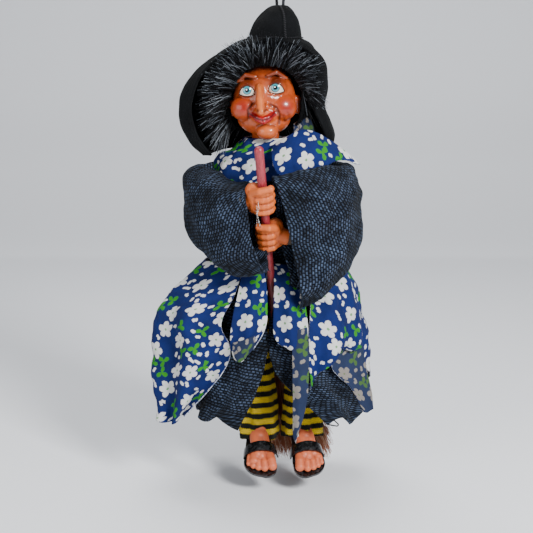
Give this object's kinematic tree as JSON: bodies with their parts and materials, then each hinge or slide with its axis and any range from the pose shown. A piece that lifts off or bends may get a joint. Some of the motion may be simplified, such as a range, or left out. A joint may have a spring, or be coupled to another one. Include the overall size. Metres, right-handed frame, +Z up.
{
  "type": "hanging animated witch figure",
  "caption": "Hanging witch doll astride a broom: turning head, legs that swing from a hip wire, a battery shaker in the body, cloth clothes and a cord loop at the hat tip.",
  "frame": {"origin": "inner top of the hanging cord loop, where the hook bears", "axes": "+Z up; the face looks towards -Y; +X is to the right as seen from the front"},
  "size_m": [0.122, 0.0982, 0.3227],
  "materials": {
    "black_cord": "twisted cotton",
    "black_felt": "felt",
    "faux_fur_black": "long pile",
    "painted_face": "glossy paint",
    "black_casing": "matt",
    "switch_plastic": "satin",
    "steel_wire": "plain",
    "nickel_contact": "nickel plated",
    "cell_sleeve": "shrink sleeve",
    "board": "solder mask",
    "speaker_cone": "paper cone",
    "motor_can": "plain can",
    "brass_weight": "turned",
    "basket_weave": "basket weave",
    "flower_print": "printed cotton",
    "foam_wrap": "soft foam",
    "hand_vinyl": "satin vinyl",
    "foot_vinyl": "satin vinyl",
    "striped_knit": "rib knit",
    "sandal_black": "glossy",
    "red_stick": "painted",
    "faux_fur_brown": "long pile",
    "black_wire": "coated"
  },
  "bodies": {
    "head": {"hanging_cord": "black_cord", "cord_knot": "black_cord", "hat_crown": "black_felt", "hat_brim": "black_felt", "hair": "faux_fur_black", "head_shell": "painted_face"},
    "torso": {"neck_post": "black_casing", "neck_cap": "black_casing", "neck_screw": "steel_wire", "body_shell_front": "black_casing", "body_shell_rear": "black_casing", "casing_screws": "steel_wire", "battery_tray": "black_casing", "battery_cells": "cell_sleeve", "battery_contacts": "nickel_contact", "battery_door_pin": "steel_wire", "circuit_board": "board", "speaker": "speaker_cone", "motor": "motor_can", "power_switch_body": "switch_plastic", "hip_axle": "steel_wire", "jacket_body": "basket_weave", "sleeve_left": "basket_weave", "sleeve_right": "basket_weave", "arm_left": "foam_wrap", "arm_right": "foam_wrap", "hand_left": "hand_vinyl", "hand_right": "hand_vinyl", "scarf": "flower_print", "skirt": "basket_weave", "overskirt_left": "flower_print", "overskirt_right": "flower_print", "broom_handle": "red_stick", "broom_bristles": "faux_fur_brown", "broom_wire": "black_wire"},
    "battery_door": {"battery_door": "black_casing"},
    "power_switch_knob": {"power_switch_knob": "switch_plastic"},
    "motor_weight": {"motor_weight": "brass_weight"},
    "leg_left": {"leg_core_left": "foam_wrap", "stocking_left": "striped_knit", "foot_left": "foot_vinyl", "sandal_sole_left": "sandal_black", "sandal_strap_left": "sandal_black"},
    "leg_right": {"leg_core_right": "foam_wrap", "stocking_right": "striped_knit", "foot_right": "foot_vinyl", "sandal_sole_right": "sandal_black", "sandal_strap_right": "sandal_black"}
  },
  "joints": [
    {"name": "neck_turn", "type": "hinge", "parent": "head", "child": "torso", "pos_m": [-0.008, 0.002, -0.11], "axis": [0, 0, 1], "range_deg": [-20, 20]},
    {"name": "hip_left", "type": "hinge", "parent": "torso", "child": "leg_left", "pos_m": [-0.013, 0, -0.207], "axis": [-1, 0, 0], "range_deg": [-3, 15]},
    {"name": "hip_right", "type": "hinge", "parent": "torso", "child": "leg_right", "pos_m": [0.013, 0, -0.207], "axis": [-1, 0, 0], "range_deg": [-3, 15]},
    {"name": "motor_weight_spin", "type": "hinge", "parent": "torso", "child": "motor_weight", "pos_m": [-0.02535, 0.007, -0.16], "axis": [0, 0, 1], "continuous": true},
    {"name": "power_switch", "type": "slide", "parent": "torso", "child": "power_switch_knob", "axis": [0, 0, 1], "range_m": [0, 0.002]},
    {"name": "battery_door_hinge", "type": "hinge", "parent": "torso", "child": "battery_door", "pos_m": [-0.005, 0.0237, -0.1333], "axis": [1, 0, 0], "range_deg": [0, 95]}
  ]
}
